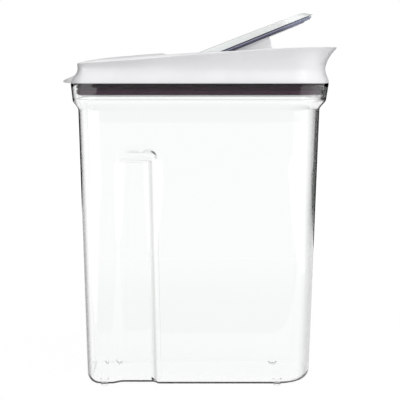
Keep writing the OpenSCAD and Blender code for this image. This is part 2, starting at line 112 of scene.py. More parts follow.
# Flap. U runs from its pivot to its nose and V is square to it.
SEAT_TILT = 2.0
NOSE_LEN, PAD_LEN = 106.0, 30.0
FLAP_HW = 52.5
FLAP_SIDE_H, FLAP_THIN, FLAP_CROWN = 5.6, 1.5, 1.1
NOSE_SLANT, FLAP_T = 7.4, 1.8
FLAP_V0 = 1.2
PAD_ROUND, PAD_FALL = 8.0, 0.05
FLAP_FRONT_ROUND = FRONT_ROUND - 1
FLAP_SEAL_T = 2.8
FLAP_GAP, SEAL_GAP, SNAP_GAP, RUN_GAP = 0.7, 0.3, 0.15, 0.05
SEAL_V1 = FLAP_V0 - FLAP_SEAL_T
SEAT_V = SEAL_V1 - SEAL_GAP
POCKET_HW = FLAP_HW + FLAP_GAP
POCKET_REAR = math.hypot(PAD_LEN, FLAP_V0 + FLAP_SIDE_H + FLAP_CROWN) + FLAP_GAP
NOSE_GAP, LIP_T = 2.0, 2.2

# Pour mouth, cheeks and hinge
MOUTH_HW = 42.0
MOUTH_START, MOUTH_END = 14.0, NOSE_LEN - 9.0
MOUTH_REAR_ROUND, MOUTH_FRONT_ROUND = 9.0, 30.0
PLUG_GAP, PLUG_DIP = 1.0, 0.6
CHEEK_R, CHEEK_FALL, CHEEK_T = 62.0, 19.0, 2.0
CHEEK_START = MOUTH_START + MOUTH_REAR_ROUND
PIN_R, BARREL_T, BARREL_LEN = 1.5, 1.9, 14.0
WELL_FRONT = PIN_R + BARREL_T + 1.2

# Seals and skirt
SEAL_LAND, SEAL_NOSE = 1.4, 1.8
LID_SEAL_H, LIP_DEPTH = 9.4, 1.4
SKIRT_INSET, SKIRT_DEPTH = 7.6, 11.0
BEAD_H, BEAD_T, BEAD_SLOPE = 1.6, 1.2, 0.9
FLAP_SEAL_GROOVE, FLAP_SEAL_BULGE, FLAP_SEAL_FOOT, PLUG_WRAP = 1.7, 0.7, 1.3, 0.7
# Heights above the pivot, from the top
FLAP_SEAL_CREST, FLAP_SEAL_VALLEY, FLAP_SEAL_LIP = (0.35, -0.6), (-0.65, -1.3), -1.35

# Fineness of the meshes
QUARTER_STEPS = 28          # steps in a quarter of an outline
DENSE_STEPS = 360           # samples that those steps are chosen from
SIDE_POINTS = 15            # points on a straight side, between its quarters
STEP_INDEX = 8              # how many of them lie ahead of the pad's well
CORNER_STEPS = 4            # steps in a rounded edge
FOOT_STEPS, BARREL_STEPS = 56, 48       # steps round a turned piece
WELD = 0.002                # points this near to each other, in millimetres, are one

# ---------------------------------------------------------------- outlines


def clamp01(v):
    return min(1.0, max(0.0, v))


def smooth(v):
    c = clamp01(v)
    return c * c * (3 - 2 * c)


def spread(low, high, count):
    """count + 1 even values from low to high."""
    return [low + (high - low) * i / count for i in range(count + 1)]


def signed_power(v, power):
    return math.copysign(abs(v) ** power, v) if abs(v) > 1e-12 else 0.0


def superellipse(centre_x, a, b, power, t):
    """Point and outward normal at t degrees, from the front (0) to the rear (180)."""
    c, s = math.cos(math.radians(t)), math.sin(math.radians(t))
    gx = signed_power(c, 2 - 2 / power) / a
    gy = signed_power(s, 2 - 2 / power) / b
    g = math.hypot(gx, gy)
    return centre_x + a * signed_power(c, 2 / power), b * signed_power(s, 2 / power), gx / g, gy / g


def quarter(centre_x, a, b, power, start):
    """Points along a quarter, spaced by a mix of how far and how much it turns."""
    dense = [superellipse(centre_x, a, b, power, t) for t in spread(start, start + 90, DENSE_STEPS)]
    length, turn = [0.0], [0.0]
    for p, q in zip(dense, dense[1:]):
        length.append(length[-1] + math.hypot(q[0] - p[0], q[1] - p[1]))
        turn.append(turn[-1] + math.acos(min(1.0, p[2] * q[2] + p[3] * q[3])))
    mix = [u / length[-1] + v / turn[-1] for u, v in zip(length, turn)]
    goals = spread(0, 2, QUARTER_STEPS)[1:-1]
    picks = [min(bisect_right(mix, goal), DENSE_STEPS) for goal in goals]
    return [dense[0]] + [dense[k] for k in picks] + [dense[-1]]


def outline(rear_x, front_x, half_w, rear_round, front_round, sides=None):
    """A closed outline of (x, y, nx, ny), from the front along +Y to the rear and back."""
    if sides is None:
        sides = spread(front_x - front_round, rear_x + rear_round, SIDE_POINTS + 1)[1:-1]
    half = quarter(front_x - front_round, front_round, half_w, FRONT_POWER, 0)
    half += [(x, half_w, 0.0, 1.0) for x in sides]
    half += quarter(rear_x + rear_round, rear_round, half_w, REAR_POWER, 90)
    return half + [(x, -y, nx, -ny) for x, y, nx, ny in reversed(half[1:-1])]


def moved(p, out, z):
    """The point of an outline, moved out along its normal, at height z."""
    return Vector((p[0] + p[2] * out, p[1] + p[3] * out, z))


def around(p, front, rear, side):
    """A size that differs between the front, the rear and the sides, at a point of an outline."""
    return front * max(0.0, p[2]) ** 2 + rear * max(0.0, -p[2]) ** 2 + side * p[3] ** 2


def line(a, b):
    return lambda t: a.lerp(b, t)


def path(stops, steps=2, closed=True):
    """Straight segments for trace, from each stop to the next."""
    ends = stops[1:] + stops[:1] if closed else stops[1:]
    return [(line(a, b), steps) for a, b in zip(stops, ends)]


def trace(segments, radii, closed=True):
    """Points along one profile.

    Each segment is a curve over 0..1 and its number of steps. radii round the corner at the
    end of each segment, as far as the segments beside it are long enough.
    """
    count = len(segments)
    lengths = []
    for curve, steps in segments:
        stops = [curve(t) for t in spread(0, 1, max(steps, 2))]
        lengths.append(sum((b - a).length for a, b in zip(stops, stops[1:])))
    cuts = [min(r, 0.45 * lengths[k], 0.45 * lengths[(k + 1) % count]) for k, r in enumerate(radii)]
    points = []
    for k, (curve, steps) in enumerate(segments):
        size = max(lengths[k], 1e-9)
        first = cuts[k - 1] / size if closed or k else 0.0
        points += [curve(t) for t in spread(first, 1 - cuts[k] / size, steps)]
        if radii[k] and (closed or k < count - 1):
            a, corner = points[-1], curve(1.0)
            b = segments[(k + 1) % count][0](cuts[k] / max(lengths[(k + 1) % count], 1e-9))
            points += [a.lerp(corner, t).lerp(corner.lerp(b, t), t)
                       for t in spread(0, 1, CORNER_STEPS)[1:-1]]
    return points


# ---------------------------------------------------------------- meshes


def clean(bm):
    """Joins coincident points, drops what has no area and turns every face outwards."""
    bmesh.ops.remove_doubles(bm, verts=bm.verts, dist=WELD * MM)
    bmesh.ops.dissolve_degenerate(bm, edges=bm.edges, dist=WELD * MM)
    loose = [e for e in bm.edges if not e.link_faces]
    bmesh.ops.delete(bm, geom=loose, context="EDGES")
    bmesh.ops.recalc_face_normals(bm, faces=bm.faces)


def mesh_object(name, points, faces):
    """An object in metres from points in millimetres."""
    mesh = bpy.data.meshes.new(name)
    mesh.from_pydata([tuple(p * MM for p in point) for point in points], [], faces)
    bm = bmesh.new()
    bm.from_mesh(mesh)
    clean(bm)
    bm.to_mesh(mesh)
    bm.free()
    obj = bpy.data.objects.new(name, mesh)
    bpy.context.scene.collection.objects.link(obj)
    return obj


def skin(name, rings, closed=True, caps=False):
    """A surface through rings of equal length. closed joins the last ring to the first."""
    n = len(rings[0])
    points = [p for ring in rings for p in ring]
    faces = []
    for k in range(len(rings) if closed else len(rings) - 1):
        a, b = k * n, (k + 1) % len(rings) * n
        faces += [(a + i, b + i, b + (i + 1) % n, a + (i + 1) % n) for i in range(n)]
    if caps:
        faces.append(tuple(range(n)))
        faces.append(tuple(range(len(points) - 1, len(points) - n - 1, -1)))
    return mesh_object(name, points, faces)


def loft(name, columns, closed=True):
    """A surface through profiles that stand side by side around an outline."""
    return skin(name, list(zip(*columns)), closed)


def combine(obj, operation, others):
    """Joins solids to obj (UNION) or cuts them from it (DIFFERENCE)."""
    for other in others:
        mod = obj.modifiers.new("combine", "BOOLEAN")
        mod.operation = operation
        mod.solver = "EXACT"
        mod.object = other
        apply_modifiers(obj)
        bpy.data.objects.remove(other)


def apply_modifiers(obj):
    graph = bpy.context.evaluated_depsgraph_get()
    mesh = bpy.data.meshes.new_from_object(obj.evaluated_get(graph))
    obj.modifiers.clear()
    obj.data = mesh
    mesh.name = obj.name


def bevel(obj, width):
    mod = obj.modifiers.new("bevel", "BEVEL")
    mod.width = width * MM
    mod.segments = 3
    mod.limit_method = "ANGLE"
    mod.angle_limit = math.radians(40)
    apply_modifiers(obj)


def shade(obj, sharp=32):
    """Smooth shading, with an edge kept where the surface turns by more than sharp degrees."""
    obj.data.shade_smooth()
    obj.data.set_sharp_from_angle(angle=math.radians(sharp))
    return obj


def lathe(name, profile, place, steps=FOOT_STEPS, bored=False):
    """A solid turned from (radius, height) pairs. place puts a local point in the frame.

    The profile of a bored piece is a loop, and its ends aren't closed.
    """
    turns = spread(0, 2 * math.pi, steps)[:-1]
    rings = [[place(r * math.cos(a), r * math.sin(a), h) for a in turns] for r, h in profile]
    return skin(name, rings, closed=bored, caps=not bored)


# ---------------------------------------------------------------- container


def wall_inset(z, draft, flare, step):
    """How far the outside lies inside the rim's outline at height z."""
    if z >= BAND_Z:
        return flare * (RIM_Z - z) / RIM_BAND_H
    if z >= WALL_TOP_Z:
        return flare + step * smooth((BAND_Z - z) / SHOULDER_H)
    return flare + step + (WALL_TOP_Z - z) * math.tan(math.radians(draft))


def shoulder_lean(z):
    """How far the shoulder leans out at height z, as an angle."""
    f = clamp01((BAND_Z - z) / SHOULDER_H)
    return math.atan(RIM_STEP / SHOULDER_H * 6 * f * (1 - f))


def wall_ends(z):
    """Rear x, front x and half width of the container at height z."""
    return (RIM_REAR + wall_inset(z, REAR_DRAFT, RIM_FLARE, RIM_STEP),
            RIM_FRONT - wall_inset(z, FRONT_DRAFT, SPOUT_FLARE, SPOUT_STEP),
            RIM_HW - wall_inset(z, SIDE_DRAFT, RIM_FLARE, RIM_STEP))


def grip_ends(z, grow):
    """Rear x and front x of the finger recess at height z."""
    reach = grow + GRIP_SPREAD * (1 - z / GRIP_TOP)
    c = clamp01((z - GRIP_TOP + GRIP_CORNER) / GRIP_CORNER)
    return GRIP_X0 - reach, GRIP_X1 + reach - GRIP_CORNER * (1 - math.sqrt(1 - c * c))


def grip_crisp(grow):
    """How far the recess takes to reach its depth. Its inside is rounder than its outside."""
    return GRIP_CRISP + 2 * grow


def grip_depth(x, z, grow):
    rear, front = grip_ends(z, grow)
    crisp = grip_crisp(grow)
    return (GRIP_DEPTH * smooth((x - rear) / GRIP_SOFT) * smooth((front - x) / crisp)
            * smooth((GRIP_TOP + grow - z) / crisp))


def container_ring(z, d, grow, drawn_z=None):
    """A ring of the container at height z, moved in by d, for a recess widened by grow."""
    rear, front, half = wall_ends(z)
    grip_rear, grip_front = grip_ends(z, grow)
    sides = spread(front - FRONT_ROUND, grip_front, 8)[1:-1]
    sides += spread(grip_front, grip_front - grip_crisp(grow), 12)
    sides += spread(grip_front - grip_crisp(grow), grip_rear + GRIP_SOFT, 4)[1:-1]
    sides += spread(grip_rear + GRIP_SOFT, grip_rear, 12)
    ring = []
    for p in outline(rear, front, half, REAR_ROUND, FRONT_ROUND, sides):
        point = moved(p, -d, z if drawn_z is None else drawn_z)
        if abs(p[2]) < 0.01:
            point.y -= math.copysign(grip_depth(p[0], z, grow), p[1])
        ring.append(point)
    return ring


def container_face(z0, d, r, grow):
    """Rings of the container's outer or inner face, from its floor up to its rim."""
    rings = [container_ring(z0, d + r + extra, grow) for extra in (1.5, 0.4)]
    for a in spread(0, math.pi / 2, 8)[:-1]:
        rings.append(container_ring(z0 + r * (1 - math.cos(a)), d + r * (1 - math.sin(a)), grow))
    top = GRIP_TOP + grow
    below = top - grip_crisp(grow) - GRIP_CORNER
    levels = spread(z0 + r, below, 12)
    levels += spread(below, top, 24)[1:]
    levels += spread(top, WALL_TOP_Z, 4)[1:]
    levels += spread(WALL_TOP_Z, BAND_Z, 16)[1:]
    levels += spread(BAND_Z + 1, RIM_Z - RIM_ROUND, 4)
    for z in levels:
        if z < BAND_Z - 0.1:
            lean = shoulder_lean(z)
            rings.append(container_ring(z, d * math.cos(lean), grow, z + d * math.sin(lean)))
    if grow:
        rings += [container_ring(BAND_Z + up, d + out, grow) for up, out in NECK_RIDGE]
    return rings + [container_ring(z, d, grow) for z in levels if z > BAND_Z + 0.1]


def make_container():
    outer = container_face(FOOT_H, 0, BASE_R, 0)
    inner = container_face(FOOT_H + FLOOR_T, WALL_T, BASE_R - WALL_T, WALL_T)
    turn = RIM_ROUND * (1 - math.sqrt(0.5))
    rim = [(turn, RIM_Z - turn), (RIM_ROUND, RIM_Z),
           (WALL_T - RIM_ROUND, RIM_Z), (WALL_T - turn, RIM_Z - turn)]
    rims = [container_ring(RIM_Z, d, 0, z) for d, z in rim]
    body = skin("container_body", outer + rims + inner[::-1], closed=False, caps=True)
    rear, front, half = wall_ends(FOOT_H)
    sole = 0.62 * FOOT_R
    profile = [(sole - 0.6, 0), (sole, 0.3), (sole + 0.7, 0.45 * FOOT_H),
               (FOOT_R - 0.5, 0.8 * FOOT_H), (FOOT_R, FOOT_H), (FOOT_R, FOOT_H + 0.4 * FLOOR_T)]
    feet = []
    for x in (rear + FOOT_REAR_INSET, front - FOOT_FRONT_INSET):
        for y in (FOOT_SIDE_INSET - half, half - FOOT_SIDE_INSET):
            feet.append(lathe("foot", profile, lambda a, b, h, x=x, y=y: (x + a, y + b, h)))
    combine(body, "UNION", feet)
    return shade(body, 40)


# ---------------------------------------------------------------- lid

RIM_POINTS = outline(RIM_REAR, RIM_FRONT, RIM_HW, REAR_ROUND, FRONT_ROUND)
MOUTH_POINTS = outline(MOUTH_START, MOUTH_END, MOUTH_HW, MOUTH_REAR_ROUND, MOUTH_FRONT_ROUND)
TILT = math.tan(math.radians(SEAT_TILT))


def waist(p):
    return around(p, WAIST_FRONT, WAIST_REAR, WAIST_SIDE)


def brow(p):
    return around(p, SPOUT_REACH + WAIST_FRONT, BROW_REAR, BROW_SIDE)


def edge_z(x):
    """Height of the lid's top edge at x."""
    part = clamp01((x - EDGE_REAR_X) / (TIP_X - EDGE_REAR_X))
    return EDGE_REAR_Z + EDGE_RISE * math.sin(math.pi / 2 * part) ** EDGE_POWER


def edge_point(p):
    point = moved(p, brow(p) - waist(p), 0)
    point.z = edge_z(point.x)
    return point


EDGE_POLAR = sorted((math.atan2(e.y, e.x - DECK_MID_X), math.hypot(e.x - DECK_MID_X, e.y))
                    for e in map(edge_point, RIM_POINTS))


def edge_radius(angle):
    """Distance from the deck's middle to its edge, in the direction of angle."""
    k = bisect_right(EDGE_POLAR, (angle, 0.0))
    if k in (0, len(EDGE_POLAR)):
        return EDGE_POLAR[k - 1][1]
    (a0, r0), (a1, r1) = EDGE_POLAR[k - 1], EDGE_POLAR[k]
    return r0 + (r1 - r0) * (angle - a0) / (a1 - a0)


def deck_z(x, y):
    """Height of the crowned deck."""
    s = min(1.0, math.hypot(x - DECK_MID_X, y) / edge_radius(math.atan2(y, x - DECK_MID_X)))
    crown = DECK_CROWN * smooth((CROWN_END_X - x) / (CROWN_END_X - EDGE_REAR_X) * CROWN_RATE)
    return edge_z(x) + crown * (1 - s ** CROWN_POWER)


def seat_z(x, v=SEAT_V):
    """Height at x of a plane v above the pivot, tilted as the shut flap is."""
    return PIVOT_Z + v / math.cos(math.radians(SEAT_TILT)) + x * TILT


LIP_LEAN = ((TIP_X - LIP_T - NOSE_LEN - NOSE_GAP)
            / (LIP_Z - PIVOT_Z - TIP_X * TILT - SEAT_V))


def skirt(p, d):
    """The lid's wall from the rim to the waist, moved in by d."""
    return lambda f: moved(p, -waist(p) * smooth(f) - d, RIM_Z + WAIST_H * f)


def flare(p):
    """The lid's wall from the waist to its top edge."""
    top = edge_point(p).z
    start = RIM_Z + WAIST_H
    return lambda f: moved(p, brow(p) * f ** FLARE_POWER - waist(p), start + (top - start) * f)


def deck(a, b):
    def curve(t):
        x, y = a.x + (b.x - a.x) * t, a.y + (b.y - a.y) * t
        return Vector((x, y, deck_z(x, y)))
    return curve


def pocket_outline():
    """The pocket at its seat. Two points of each side meet at the pad's well."""
    front = NOSE_LEN + NOSE_GAP
    rear_round = PAD_ROUND + FLAP_GAP
    sides = spread(front - FRONT_ROUND, WELL_FRONT, STEP_INDEX)[1:]
    sides += spread(WELL_FRONT, rear_round - POCKET_REAR, SIDE_POINTS - STEP_INDEX)[:-1]
    return outline(-POCKET_REAR, front, POCKET_HW, rear_round, FRONT_ROUND, sides)


def pocket_top(p):
    """Where the pocket's wall meets the deck. The wall leans out along the spout's lip."""
    leans = p[2] > 0
    v = SEAT_V
    for _ in range(8):
        x = p[0] + (LIP_LEAN * (v - SEAT_V) if leans else 0.0)
        v = deck_z(x, p[1]) - PIVOT_Z - x * TILT
    return Vector((x, p[1], deck_z(x, p[1])))


def make_lid_shell():
    first_rear = QUARTER_STEPS + 1 + STEP_INDEX
    last = 2 * QUARTER_STEPS + 1 + SIDE_POINTS
    columns = []
    for i, (rim, edge, mouth) in enumerate(zip(RIM_POINTS, pocket_outline(), MOUTH_POINTS)):
        k = min(i, 2 * last - i)
        foot = Vector((edge[0], edge[1], seat_z(edge[0])))
        low, step_low, step_top = foot, foot, foot
        if k >= first_rear:
            step_y = math.copysign(POCKET_HW * (last - k) / (last - first_rear), edge[1])
            low = Vector((edge[0], edge[1], WELL_FLOOR_Z))
            step_low = Vector((WELL_FRONT, step_y, WELL_FLOOR_Z))
            step_top = Vector((WELL_FRONT, step_y, seat_z(WELL_FRONT)))
        mouth_top = moved(mouth, 0, seat_z(mouth[0]))
        mouth_low = moved(mouth, 0, PLATE_Z)
        top = pocket_top(edge)
        inner = skirt(rim, LID_T)
        inner_top = inner(LID_T / WAIST_H)
        columns.append(trace([
            (skirt(rim, 0), 8), (flare(rim), 14), (deck(edge_point(rim), top), 16),
            (line(top, foot), 3), (line(foot, low), 2), (line(low, step_low), 2),
            (line(step_low, step_top), 2), (line(step_top, mouth_top), 3),
            (line(mouth_top, mouth_low), 3), (line(mouth_low, inner_top), 2),
            (line(inner_top, inner(0)), 1), (line(inner(0), moved(rim, 0, RIM_Z)), 1),
        ], [0, 0.9, 0.6, 0, 1.2, 0, 0.5, 0.6, 0.3, 0, 0.3, 0.4]))
    shell = loft("lid_shell_skin", columns)
    combine(shell, "UNION", [make_pull_tab()])
    return shade(shell)


def make_pull_tab():
    """A tongue that slopes down from the lid's wall at the grip end."""
    root_x = RIM_REAR + WAIST_REAR + LID_T / 2
    under, root_drop = 0.7, 3.0
    rise = WAIST_H - root_drop - TAB_T - under
    plan = outline(TAB_TIP_X, root_x + TAB_REACH, TAB_W / 2, 1.5 * TAB_REACH, TAB_REACH / 2)
    span = root_x - TAB_TIP_X

    def top(x):
        return RIM_Z + under + TAB_T + rise * clamp01((x - TAB_TIP_X) / span) ** 1.1

    def bottom(x):
        return RIM_Z + under * clamp01((RIM_REAR - x) / (RIM_REAR - TAB_TIP_X))

    columns = []
    for p in plan:
        p_x = min(p[0], root_x)
        upper, lower = Vector((p_x, p[1], top(p_x))), Vector((p_x, p[1], bottom(p_x)))
        mid_top, mid_low = Vector((root_x, 0, top(root_x))), Vector((root_x, 0, bottom(root_x)))

        def top_curve(t, a=mid_top, b=upper):
            q = a.lerp(b, t)
            return Vector((q.x, q.y, top(q.x)))

        def low_curve(t, a=lower, b=mid_low):
            q = a.lerp(b, t)
            return Vector((q.x, q.y, bottom(q.x)))
        columns.append(trace([(top_curve, 10), (line(upper, lower), 2), (low_curve, 6)],
                             [0.85, 0.7, 0], closed=False))
    return loft("pull_tab", columns, closed=False)


def make_lid_base():
    """The plate under the shell, with the skirt and bead that hold the seal."""
    skirt_z = RIM_Z - SKIRT_DEPTH
    columns = []
    for rim, mouth in zip(RIM_POINTS, MOUTH_POINTS):
        plate = skirt(rim, LID_T + SNAP_GAP)(LID_T / WAIST_H)
        plate_low = plate.copy()
        plate_low.z = RIM_Z
        mouth_top, mouth_low = moved(mouth, 0, PLATE_Z), moved(mouth, 0, RIM_Z)
        inside, outside = -SKIRT_INSET - LID_T, -SKIRT_INSET
        stops = [moved(rim, out, z) for out, z in (
            (inside, RIM_Z), (inside, skirt_z), (outside - BEAD_SLOPE, skirt_z),
            (outside + BEAD_T, skirt_z + BEAD_H - 0.15), (outside, skirt_z + BEAD_H),
            (outside, RIM_Z))]
        stops += [plate_low, plate, mouth_top, mouth_low]
        columns.append(trace(path(stops), [0.3, 0.6, 0.6, 0.1, 0, 0, 0.3, 0.3, 0.3, 0]))
    return shade(loft("lid_base_skin", columns))


def make_lid_seal():
    """A soft ring with two lips that follow the inside of the container's neck."""
    # shares of the ring's height, from its foot up, and how deep the valleys between the lips are
    stops = [(1.0, 1.0), (0.9, 0.0), (0.62, 0.0), (0.52, 1.0),
             (0.44, 1.0), (0.34, 0.0), (0.07, 0.0), (0.0, 0.45)]

    def valley(share):
        for (s1, d1), (s0, d0) in zip(stops, stops[1:]):
            if s0 <= share <= s1:
                return LIP_DEPTH * (d0 + (d1 - d0) * smooth((share - s0) / (s1 - s0)))
        return 0.0

    rings = []
    for share in spread(1, 0, 44):
        z = RIM_Z - LID_SEAL_H * share
        rear, front, half = wall_ends(z)
        ring = outline(rear, front, half, REAR_ROUND, FRONT_ROUND)
        rings.append([moved(p, -WALL_T - SEAL_GAP - valley(share), z) for p in ring])
    inner = -SKIRT_INSET + SNAP_GAP
    rings += [[moved(p, inner, RIM_Z - drop) for p in RIM_POINTS] for drop in (0, LID_SEAL_H)]
    return shade(skin("lid_seal_ring", rings))


# ---------------------------------------------------------------- flap

FLAP_POINTS = outline(-PAD_LEN, NOSE_LEN, FLAP_HW, PAD_ROUND, FLAP_FRONT_ROUND)
FLAP_MID = (NOSE_LEN - PAD_LEN) / 2
FLAP_TURN = Matrix.Rotation(-math.radians(SEAT_TILT + FLAP_SWING), 4, "Y")
FLAP_PLACE = Matrix.Translation((0, 0, PIVOT_Z * MM)) @ FLAP_TURN


def place_flap(obj):
    """Turns a piece that was made about the pivot into the open flap's place."""
    obj.data.transform(FLAP_PLACE)
    return obj


def flap_edge_v(u):
    """Height of the flap's side edge at u."""
    return FLAP_V0 + FLAP_SIDE_H - FLAP_THIN * clamp01(u / NOSE_LEN) - PAD_FALL * max(0.0, -u)


def flap_side(p, d, drop):
    """The flap's side from its lower edge up, moved in by d, with its top down by drop."""
    def curve(f):
        point = moved(p, -d - around(p, NOSE_SLANT * f, 0, 0), 0)
        point.z = FLAP_V0 + (flap_edge_v(point.x) - drop - FLAP_V0) * f
        return point
    return curve


def flap_top(edge, drop):
    """The flap's crowned top, from its middle to its edge."""
    def curve(s):
        u = FLAP_MID + (edge.x - FLAP_MID) * s
        return Vector((u, edge.y * s, flap_edge_v(u) - drop + FLAP_CROWN * (1 - s * s)))
    return curve


def reverse(curve):
    return lambda t: curve(1 - t)


def make_flap_cover():
    columns = []
    for p in FLAP_POINTS:
        side, inside = flap_side(p, 0, 0), flap_side(p, FLAP_T, FLAP_T)
        top, under = flap_top(side(1), 0), flap_top(inside(1), FLAP_T)
        columns.append(trace([
            (top, 18), (reverse(side), 6), (line(side(0), inside(0)), 1), (inside, 4),
            (reverse(under), 12)], [1.1, 0.35, 0.3, 0.6, 0], closed=False))
    cover = loft("flap_cover_skin", columns, closed=False)
    pin_room = PIN_R + SEAL_GAP
    ends = [(pin_room, -FLAP_HW - 1), (pin_room, FLAP_HW + 1)]
    combine(cover, "DIFFERENCE", [lathe("pin_room", ends, lambda a, b, h: (a, h, b))])
    return place_flap(shade(cover))


def slab(name, corners, y0, y1):
    """A flat plate across the flap, from a list of (u, v) corners."""
    n = len(corners)
    points = [(u, y, v) for y in (y0, y1) for u, v in corners]
    faces = [tuple(range(n)), tuple(range(2 * n - 1, n - 1, -1))]
    faces += [(i, (i + 1) % n, n + (i + 1) % n, n + i) for i in range(n)]
    return mesh_object(name, points, faces)


def make_cheek(side):
    """A plate that keeps the cereal between the sides of the spout."""
    fall = math.radians(CHEEK_FALL)
    lift = math.asin(FLAP_V0 / CHEEK_R)
    arc = [(CHEEK_R * math.cos(a), CHEEK_R * math.sin(a)) for a in spread(lift, -fall, 16)]
    corners = [(CHEEK_START, FLAP_V0)] + arc + [(CHEEK_START, -CHEEK_START * math.tan(fall))]
    outer = side * (MOUTH_HW - PLUG_GAP)
    cheek = slab("cheek", corners, outer, outer - side * CHEEK_T)
    bevel(cheek, 0.4)
    return cheek


def make_barrel(side):
    """A tube that turns on the hinge pin."""
    mid, half = side * (MOUTH_HW - BARREL_LEN), BARREL_LEN / 2
    bore, outer, round_r = PIN_R + RUN_GAP, PIN_R + BARREL_T, 0.4
    profile = [(bore, half), (outer - round_r, half), (outer, half - round_r),
               (outer, round_r - half), (outer - round_r, -half), (bore, -half)]
    return lathe("barrel", profile, lambda a, b, h: (a, mid + h, b), BARREL_STEPS, bored=True)


def make_flap_plug():
    """The moulding inside the flap: its plate, the plug for the mouth, cheeks and barrels."""
    plug_v, roof_v, top_v = SEAT_V - PLUG_DIP, FLAP_V0 - FLAP_T, FLAP_V0 + FLAP_T
    columns = []
    for p, mouth in zip(FLAP_POINTS, MOUTH_POINTS):
        edge = flap_side(p, FLAP_T + SNAP_GAP, 0)(1)
        inner, outer = moved(mouth, -PLUG_GAP - CHEEK_T, 0), moved(mouth, -PLUG_GAP, 0)
        stops = [Vector((FLAP_MID, 0, roof_v)), Vector((inner.x, inner.y, roof_v)),
                 Vector((inner.x, inner.y, plug_v)), Vector((outer.x, outer.y, plug_v)),
                 Vector((outer.x, outer.y, FLAP_V0)), Vector((edge.x, edge.y, FLAP_V0)),
                 Vector((edge.x, edge.y, top_v)), Vector((FLAP_MID, 0, top_v))]
        radii = [0.8, 0.4, 0.4, 0, 0.3, 0.3, 0]
        columns.append(trace(path(stops, closed=False), radii, closed=False))
    plug = loft("flap_plug_moulding", columns, closed=False)
    for side in (-1, 1):
        combine(plug, "UNION", [make_cheek(side), make_barrel(side)])
    return place_flap(shade(plug))


def make_flap_seal():
    """A soft ring between the flap's cover and its seat, which also wraps the plug."""
    outer = outline(WELL_FRONT + SEAL_LAND, NOSE_LEN - SEAL_NOSE, FLAP_HW - SEAL_LAND,
                    MOUTH_REAR_ROUND, FLAP_FRONT_ROUND)
    high, low = FLAP_SEAL_CREST
    mid, half = (high + low) / 2, (high - low) / 2
    stops = [(-FLAP_SEAL_GROOVE, FLAP_V0), (-FLAP_SEAL_GROOVE, high + 0.03)]
    for a in spread(90, -90, 10):
        c, s = math.cos(math.radians(a)), math.sin(math.radians(a))
        stops.append((-FLAP_SEAL_BULGE * (1 - c) ** 1.5, mid + half * s))
    stops += [(-FLAP_SEAL_GROOVE, v) for v in FLAP_SEAL_VALLEY]
    stops += [(-FLAP_SEAL_FOOT, v) for v in (FLAP_SEAL_LIP, SEAL_V1)]
    rings = [[moved(p, out, v) for p in outer] for out, v in stops]
    skin_v = SEAT_V - PLUG_DIP + 0.1
    inside = SNAP_GAP - PLUG_GAP
    outside = inside + PLUG_WRAP
    for out, v in ((outside, SEAL_V1), (outside, skin_v + 0.25), (outside - 0.25, skin_v),
                   (inside, skin_v), (inside, FLAP_V0)):
        rings.append([moved(p, out, v) for p in MOUTH_POINTS])
    return place_flap(shade(skin("flap_seal_ring", rings), 40))


# ---------------------------------------------------------------- materials


class Nodes:
    """A short way to write the nodes of a material or a world."""

    def __init__(self, name, kind="materials", output="ShaderNodeOutputMaterial"):
        self.owner = getattr(bpy.data, kind).new(name)
        self.owner.use_nodes = True
        self.tree = self.owner.node_tree
        self.tree.nodes.clear()
        self.output = self.add(output)

    def add(self, kind, inputs=None, **settings):
        node = self.tree.nodes.new(kind)
        for key, value in settings.items():
            setattr(node, key, value)
        for key, value in (inputs or {}).items():
            self.feed(node.inputs[key], value)
        return node

    def feed(self, socket, value):
        if isinstance(value, bpy.types.NodeSocket):
            self.tree.links.new(value, socket)
        else:
            socket.default_value = value

    def math(self, operation, a, b=0.0, clamp=False):
        node = self.add("ShaderNodeMath", {0: a, 1: b}, operation=operation, use_clamp=clamp)
        return node.outputs[0]

    def noise(self, vector, scale, detail=3.0):
        node = self.add("ShaderNodeTexNoise", {"Vector": vector, "Scale": scale, "Detail": detail})
        return node.outputs["Fac"]

    def place(self, scale=(1, 1, 1)):
        """Object coordinates, in metres, stretched by scale."""
        coords = self.add("ShaderNodeTexCoord").outputs["Object"]
        return self.add("ShaderNodeMapping", {"Vector": coords, "Scale": scale}).outputs["Vector"]

    def distance(self, direction):
        """How far a point lies from the origin in a direction, in metres."""
        return self.add("ShaderNodeVectorMath", {0: self.place(), 1: direction},
                        operation="DOT_PRODUCT").outputs["Value"]

    def blend(self, fac, a, b):
        node = self.add("ShaderNodeMix", {0: fac, 6: a, 7: b}, data_type="RGBA")
        return node.outputs[2]

    def span(self, value, low, high, to_low=0.0, to_high=1.0):
        """value mapped smoothly from low..high to to_low..to_high."""
        node = self.add("ShaderNodeMapRange", {
            "Value": value, "From Min": low, "From Max": high, "To Min": to_low, "To Max": to_high},
            interpolation_type="SMOOTHSTEP")
        return node.outputs["Result"]

    def bump(self, height, strength, distance):
        return self.add("ShaderNodeBump", {
            "Height": height, "Strength": strength, "Distance": distance}).outputs["Normal"]

    def finish(self, shader):
        self.tree.links.new(shader, self.output.inputs["Surface"])
        return self.owner


def rgb(r, g, b):
    return (r, g, b, 1.0)


